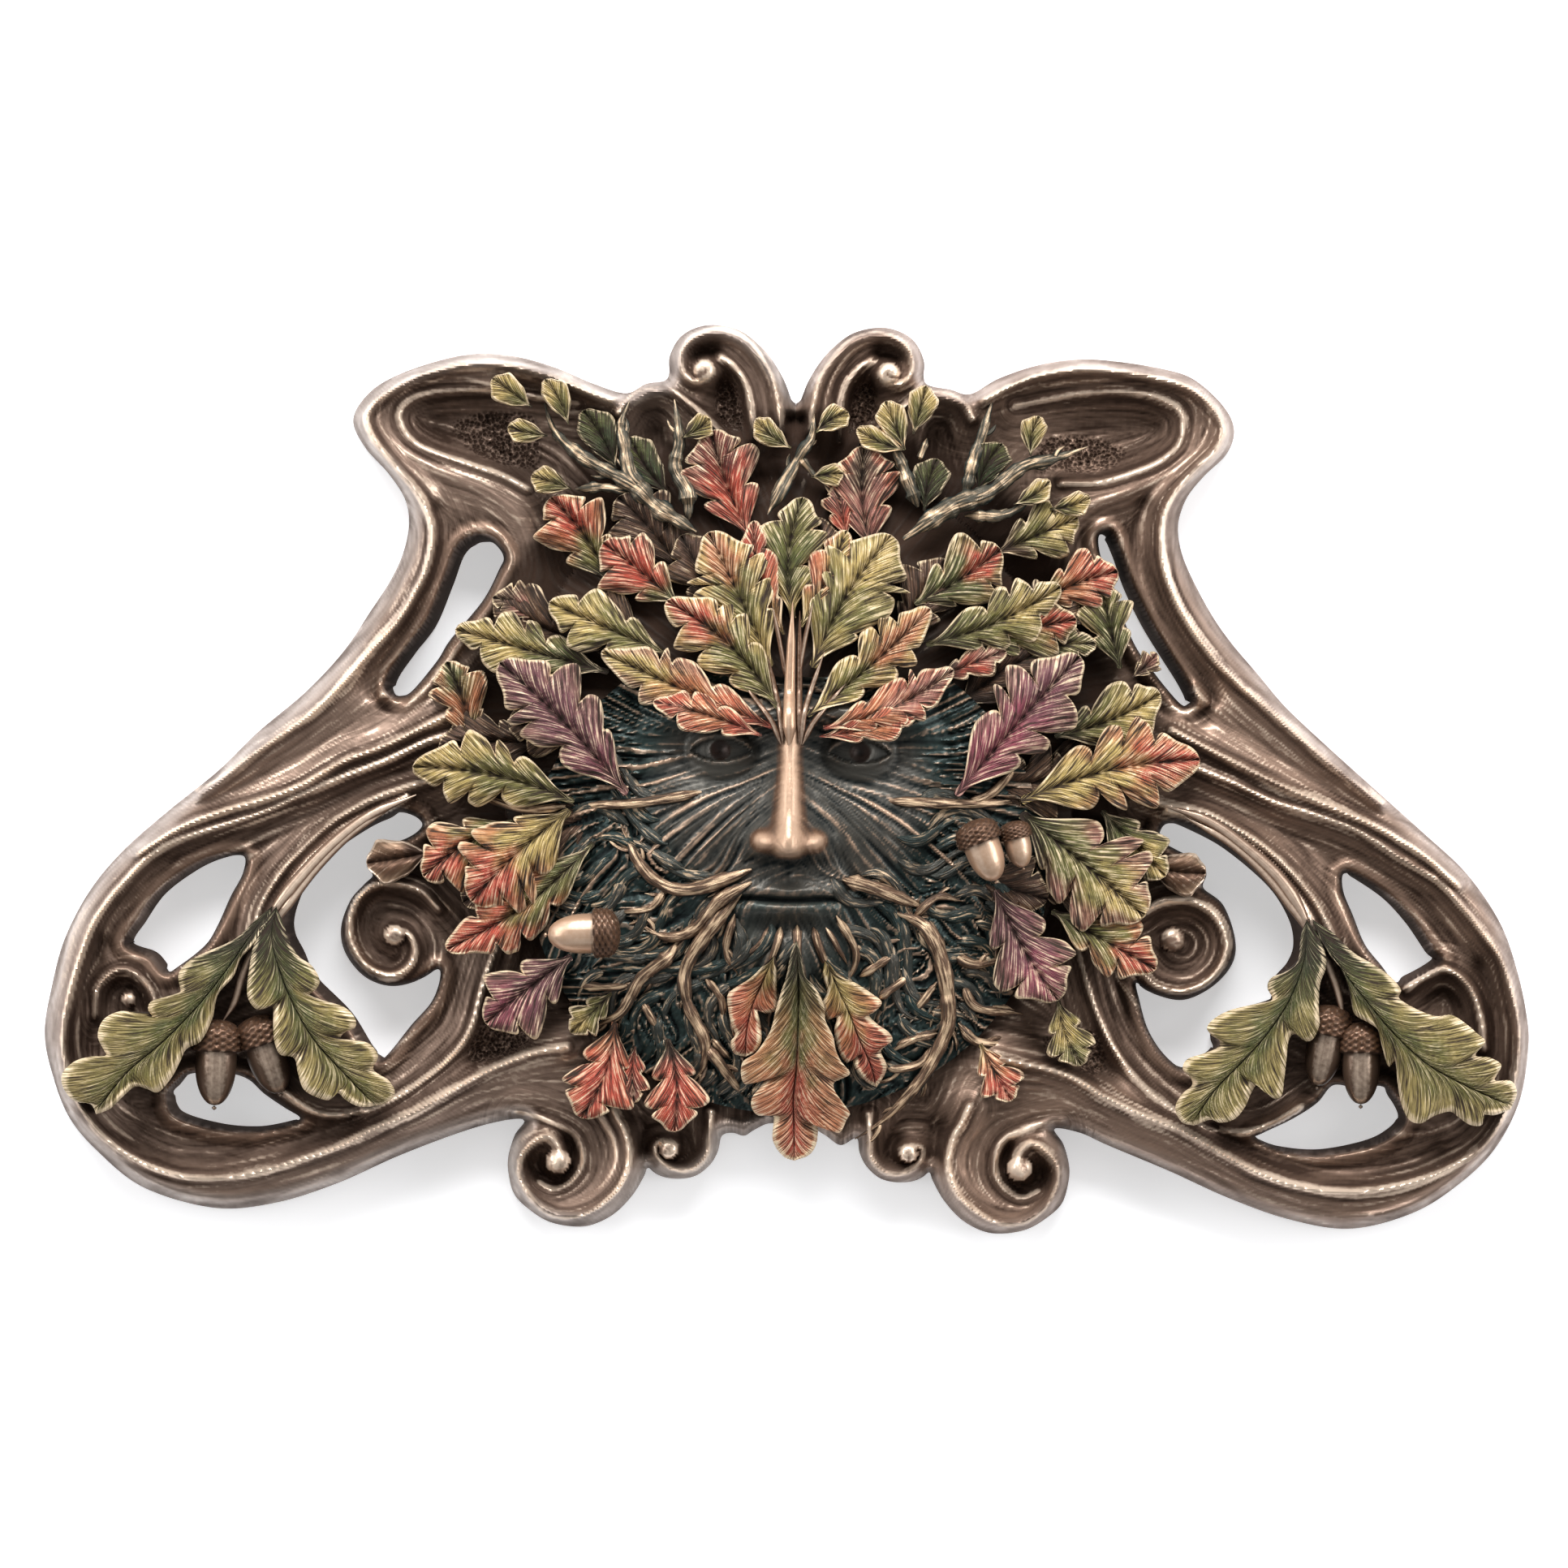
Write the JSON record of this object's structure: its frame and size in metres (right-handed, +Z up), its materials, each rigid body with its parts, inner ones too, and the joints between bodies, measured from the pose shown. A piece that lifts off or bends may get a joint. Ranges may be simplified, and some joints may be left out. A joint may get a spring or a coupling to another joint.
{
  "type": "green man wall plaque",
  "caption": "Openwork wall plaque of a foliate face among painted oak leaves, twigs, roots and acorns, framed by scrolled Art Nouveau bands.",
  "frame": {"origin": "point on the flat back behind the middle of the face, where the plaque meets the wall", "axes": "+X to the viewer's right, +Y into the wall, +Z up; the relief faces -Y"},
  "size_m": [0.366, 0.0417, 0.223],
  "materials": {
    "bronze": "cold-cast bronze: dark brown in the hollows, rubbed copper-beige on the crests, brushed along the bands",
    "leaf_paint": "painted oak leaves from green and yellow to red and purple, dark wash in the veins, pale rubbed edges",
    "face_patina": "dark teal patina with bright bronze rubbed through on the high places",
    "bright_bronze": "polished cold-cast bronze on twigs, roots, acorns and the middle stalk"
  },
  "bodies": {
    "root": {"green_man_plaque": "bronze"}
  },
  "joints": []
}
